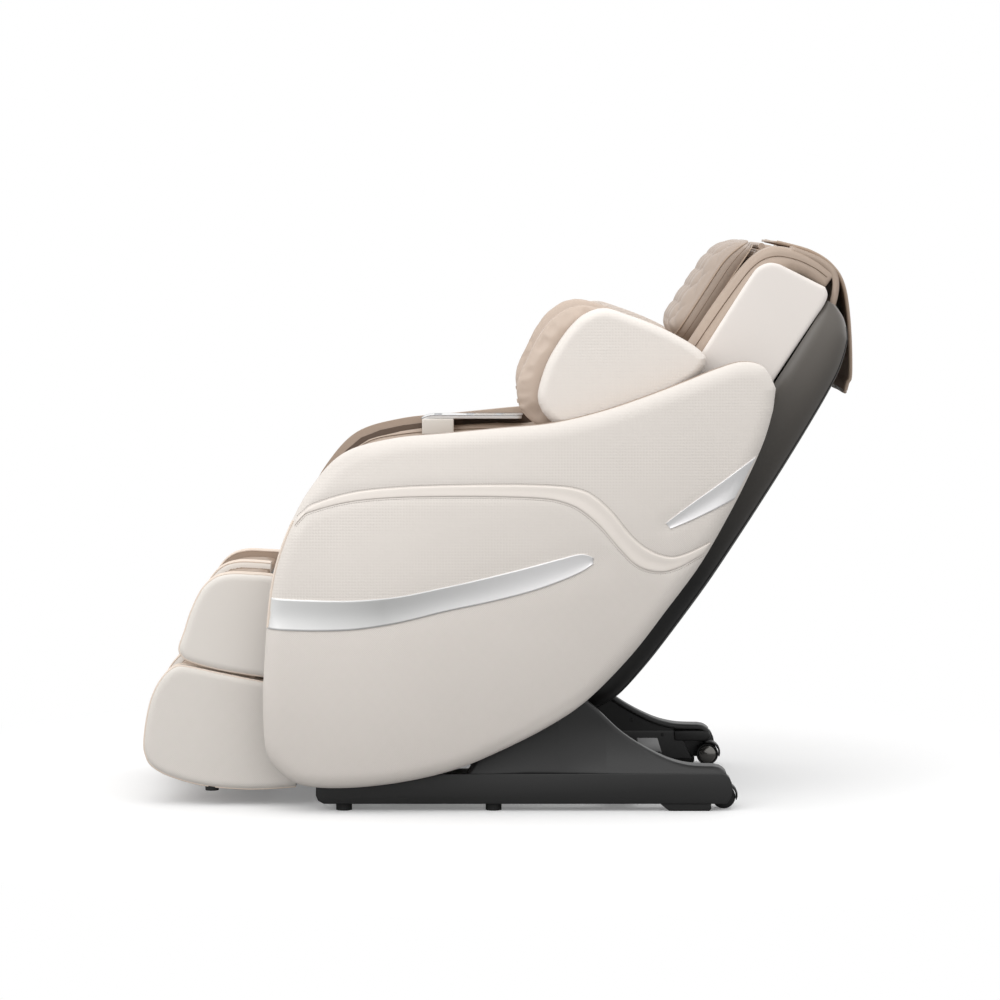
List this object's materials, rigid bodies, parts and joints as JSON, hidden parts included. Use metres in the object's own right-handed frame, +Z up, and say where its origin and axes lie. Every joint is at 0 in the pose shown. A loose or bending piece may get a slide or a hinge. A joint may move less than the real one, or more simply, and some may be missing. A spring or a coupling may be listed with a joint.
{
  "type": "massage chair",
  "caption": "Reclining massage chair with a padded calf and foot rest, on a low base with transport wheels.",
  "frame": {"origin": "on the floor, at the middle of the bounding box in X and Y", "axes": "+X points to the back of the chair, -X the way the sitter faces, +Y to the sitter's right, +Z up"},
  "size_m": [1.3386, 0.7684, 1.0713],
  "materials": {
    "cream_leather": "satin embossed",
    "tan_leather": "satin",
    "stripe_leather": "satin",
    "silver_trim": "satin",
    "dark_shell": "satin",
    "base_plastic": "satin",
    "black_plastic": "gloss",
    "rubber_black": "matte",
    "frame_steel": "powder coated",
    "bright_steel": "ground",
    "white_gloss": "gloss",
    "button_grey": "satin",
    "cream_plastic": "satin",
    "plywood": "plain",
    "kneading_rubber": "matte",
    "liner_plastic": "matte"
  },
  "bodies": {
    "base": {"left_base_skid": "base_plastic", "right_base_skid": "base_plastic", "base_cross_frame": "frame_steel", "base_feet": "rubber_black", "pivot_pins": "bright_steel", "wheel_axles": "bright_steel", "power_box": "liner_plastic", "power_inlet": "black_plastic", "recline_motor_bracket": "frame_steel"},
    "left_wheel": {"left_wheel": "black_plastic"},
    "right_wheel": {"right_wheel": "black_plastic"},
    "power_rocker": {"power_rocker": "black_plastic"},
    "recline_drive": {"recline_actuator_tube": "frame_steel"},
    "recline_rod": {"recline_actuator_rod": "bright_steel"},
    "chair": {"side_plates": "frame_steel", "frame_cross_tubes": "frame_steel", "back_uprights": "frame_steel", "arm_brackets": "frame_steel", "shoulder_brackets": "frame_steel", "seat_board": "plywood", "seat_cushion": "tan_leather", "left_side_panel": "cream_leather", "right_side_panel": "cream_leather", "side_liners": "liner_plastic", "side_stripes": "stripe_leather", "front_trims": "silver_trim", "rear_trims": "silver_trim", "arm_pads": "tan_leather", "control_panel": "white_gloss", "control_bracket": "cream_plastic", "control_rim": "silver_trim", "back_shell": "dark_shell", "back_pad": "tan_leather", "back_bolsters": "tan_leather", "upper_side_panels": "cream_leather", "shoulder_shells": "cream_leather", "shoulder_pads": "tan_leather", "head_cover": "tan_leather", "guide_tracks": "bright_steel", "lead_screw": "bright_steel", "air_pump": "liner_plastic", "control_box": "liner_plastic", "knee_pins": "bright_steel", "leg_actuator_tube": "frame_steel"},
    "head_pillow": {"head_pillow": "tan_leather"},
    "carriage": {"massage_carriage": "liner_plastic"},
    "left_arm": {"left_massage_arm": "kneading_rubber"},
    "right_arm": {"right_massage_arm": "kneading_rubber"},
    "power_button": {"power_button": "button_grey"},
    "recline_button": {"recline_button": "button_grey"},
    "massage_button": {"massage_button": "button_grey"},
    "leg_rest": {"leg_frame": "frame_steel", "leg_walls": "cream_leather", "leg_linings": "tan_leather"},
    "leg_drive_rod": {"leg_actuator_rod": "bright_steel"},
    "foot_unit": {"foot_frame": "frame_steel", "foot_walls": "cream_leather", "foot_linings": "tan_leather", "foot_glides": "rubber_black"},
    "foot_roller_shaft": {"foot_rollers": "kneading_rubber"}
  },
  "joints": [
    {"name": "left_wheel_spin", "type": "hinge", "parent": "base", "child": "left_wheel", "pos_m": [0.421, -0.27, 0.022], "axis": [0, 1, 0], "continuous": true},
    {"name": "right_wheel_spin", "type": "hinge", "parent": "base", "child": "right_wheel", "pos_m": [0.421, 0.27, 0.022], "axis": [0, 1, 0], "continuous": true},
    {"name": "rocker_tilt", "type": "hinge", "parent": "base", "child": "power_rocker", "pos_m": [0.306, -0.03, 0.054], "axis": [0, 1, 0], "range_deg": [-6, 6]},
    {"name": "recline_tilt", "type": "hinge", "parent": "base", "child": "chair", "pos_m": [0.07, 0, 0.225], "axis": [0, 1, 0], "range_deg": [0, 25]},
    {"name": "recline_drive_swing", "type": "hinge", "parent": "base", "child": "recline_drive", "pos_m": [-0.2, 0, 0.082], "axis": [0, 1, 0], "range_deg": [-1, 4]},
    {"name": "recline_rod_slide", "type": "slide", "parent": "recline_drive", "child": "recline_rod", "axis": [0.3816, 0, 0.9243], "range_m": [0, 0.086]},
    {"name": "pillow_tilt", "type": "hinge", "parent": "chair", "child": "head_pillow", "pos_m": [0.49592, 0, 1.05451], "axis": [0, 1, 0], "range_deg": [0, 60]},
    {"name": "carriage_travel", "type": "slide", "parent": "chair", "child": "carriage", "axis": [0.5402, 0, 0.8415], "range_m": [0, 0.52]},
    {"name": "left_arm_rock", "type": "hinge", "parent": "carriage", "child": "left_arm", "pos_m": [0.20226, 0, 0.42309], "axis": [0, 1, 0], "range_deg": [-4, 4]},
    {"name": "right_arm_rock", "type": "hinge", "parent": "carriage", "child": "right_arm", "pos_m": [0.20226, 0, 0.42309], "axis": [0, 1, 0], "range_deg": [-4, 4]},
    {"name": "power_button_press", "type": "slide", "parent": "chair", "child": "power_button", "axis": [0, 0, -1], "range_m": [0, 0.0012], "stiffness_N_per_m": 400},
    {"name": "recline_button_press", "type": "slide", "parent": "chair", "child": "recline_button", "axis": [0, 0, -1], "range_m": [0, 0.0012], "stiffness_N_per_m": 400},
    {"name": "massage_button_press", "type": "slide", "parent": "chair", "child": "massage_button", "axis": [0, 0, -1], "range_m": [0, 0.0012], "stiffness_N_per_m": 400},
    {"name": "leg_lift", "type": "hinge", "parent": "chair", "child": "leg_rest", "pos_m": [-0.415, 0, 0.405], "axis": [0, 1, 0], "range_deg": [0, 80]},
    {"name": "leg_drive_slide", "type": "slide", "parent": "chair", "child": "leg_drive_rod", "axis": [-0.9925, 0, 0.1219], "range_m": [0, 0.0975]},
    {"name": "foot_slide", "type": "slide", "parent": "leg_rest", "child": "foot_unit", "axis": [0, 0, -1], "range_m": [0, 0.09]},
    {"name": "foot_roller_spin", "type": "hinge", "parent": "foot_unit", "child": "foot_roller_shaft", "pos_m": [-0.548, 0, 0.084], "axis": [0, 1, 0], "continuous": true}
  ],
  "couplings": [
    {"joint": "recline_drive_swing", "follows": "recline_tilt", "ratio": 0.1114},
    {"joint": "recline_rod_slide", "follows": "recline_tilt", "m_per_rad": 0.19152},
    {"joint": "right_arm_rock", "follows": "left_arm_rock", "ratio": -1},
    {"joint": "leg_drive_slide", "follows": "leg_lift", "m_per_rad": 0.06905},
    {"joint": "foot_slide", "follows": "leg_lift", "m_per_rad": 0.0644}
  ]
}
